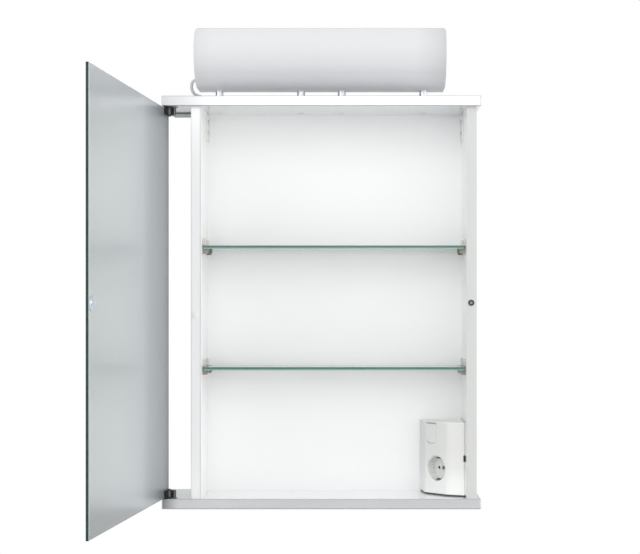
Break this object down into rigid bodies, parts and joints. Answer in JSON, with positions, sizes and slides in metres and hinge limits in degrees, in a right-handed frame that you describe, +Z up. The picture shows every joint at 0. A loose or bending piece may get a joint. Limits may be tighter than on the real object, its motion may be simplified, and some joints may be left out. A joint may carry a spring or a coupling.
{
  "type": "mirrored bathroom cabinet",
  "caption": "Wall-hung mirror cabinet: mirror door on corner pivots, glass shelves, lamp on posts above, socket and switch box inside. The door swings and the switch rocks.",
  "frame": {"origin": "midway between the two hanger eyes, on the wall plane at the back of the cabinet", "axes": "+X to the right seen from the front, +Y rearward into the wall, +Z up"},
  "size_m": [0.5413, 0.6049, 0.763],
  "materials": {
    "board": "glossy aluminium-look laminate on chipboard",
    "panel": "white melamine on chipboard",
    "back": "white lacquered hardboard",
    "mirror": "polished mirror glass",
    "door_back": "satin silver safety backing",
    "shelf_glass": "clear float glass, ground edges",
    "hinge_black": "black satin",
    "steel": "zinc plated",
    "black_plastic": "moulded",
    "chrome": "polished",
    "clear_plastic": "translucent moulded",
    "nickel": "satin nickel",
    "shade_white": "satin opal white",
    "post": "satin chrome",
    "white_metal": "white enamel",
    "ceramic": "glazed white",
    "bulb_glass": "opal inside coating",
    "brass": "nickel-free brass",
    "white_plastic": "moulded",
    "lead": "light grey cable sheath",
    "rubber_grey": "soft",
    "box_white": "moulded",
    "label": "blank foil label",
    "dowel": "beech",
    "pad": "soft"
  },
  "bodies": {
    "cabinet": {"top_board": "board", "bottom_board": "board", "left_side_panel": "panel", "right_side_panel": "panel", "carcass_dowels": "dowel", "carcass_screws": "steel", "back_panel": "back", "left_hanger": "steel", "right_hanger": "steel", "hanger_screws": "steel", "upper_pivot_bushing": "black_plastic", "lower_pivot_bushing": "black_plastic", "catch_sleeve": "black_plastic", "catch_magnet": "steel", "door_bumper": "white_plastic", "lower_glass_shelf": "shelf_glass", "upper_glass_shelf": "shelf_glass", "upper_shelf_supports": "nickel", "lower_shelf_supports": "nickel", "upper_shelf_clamps": "clear_plastic", "lower_shelf_clamps": "clear_plastic", "shelf_support_pins": "steel", "label_plate": "label", "lamp_shade": "shade_white", "lamp_posts": "post", "lamp_base_tray": "white_metal", "lamp_post_screws": "steel", "left_lampholder": "ceramic", "right_lampholder": "ceramic", "left_bulb_cap": "brass", "right_bulb_cap": "brass", "left_bulb_glass": "bulb_glass", "right_bulb_glass": "bulb_glass", "lamp_terminal_block": "white_plastic", "lamp_gland": "rubber_grey", "lamp_lead": "lead", "top_board_grommet": "rubber_grey", "cable_clips": "white_plastic", "box_cover": "box_white", "box_base": "box_white", "box_screws": "steel", "socket_insert": "box_white", "earth_contacts": "steel", "socket_contacts": "brass", "switch_body": "box_white", "box_terminal_block": "white_plastic", "mains_inlet_grommet": "rubber_grey", "overhang_plate": "steel", "overhang_plate_screws": "steel", "socket_screw": "steel"},
    "door": {"door_mirror_glass": "mirror", "door_backing": "door_back", "strike_plate": "chrome", "upper_hinge_clamp": "hinge_black", "lower_hinge_clamp": "hinge_black", "hinge_pads": "pad", "hinge_screws": "steel", "upper_pivot_pin": "steel", "lower_pivot_pin": "steel"},
    "switch_rocker_body": {"switch_rocker": "box_white"}
  },
  "joints": [
    {"name": "door_hinge", "type": "hinge", "parent": "cabinet", "child": "door", "pos_m": [-0.2521, -0.1253, 0], "axis": [0, 0, -1], "range_deg": [-95.1, 15]},
    {"name": "switch_rock", "type": "hinge", "parent": "cabinet", "child": "switch_rocker_body", "pos_m": [0.15916, -0.07207, -0.4837], "axis": [-0.6679, 0.7443, 0], "range_deg": [0, 10]}
  ]
}
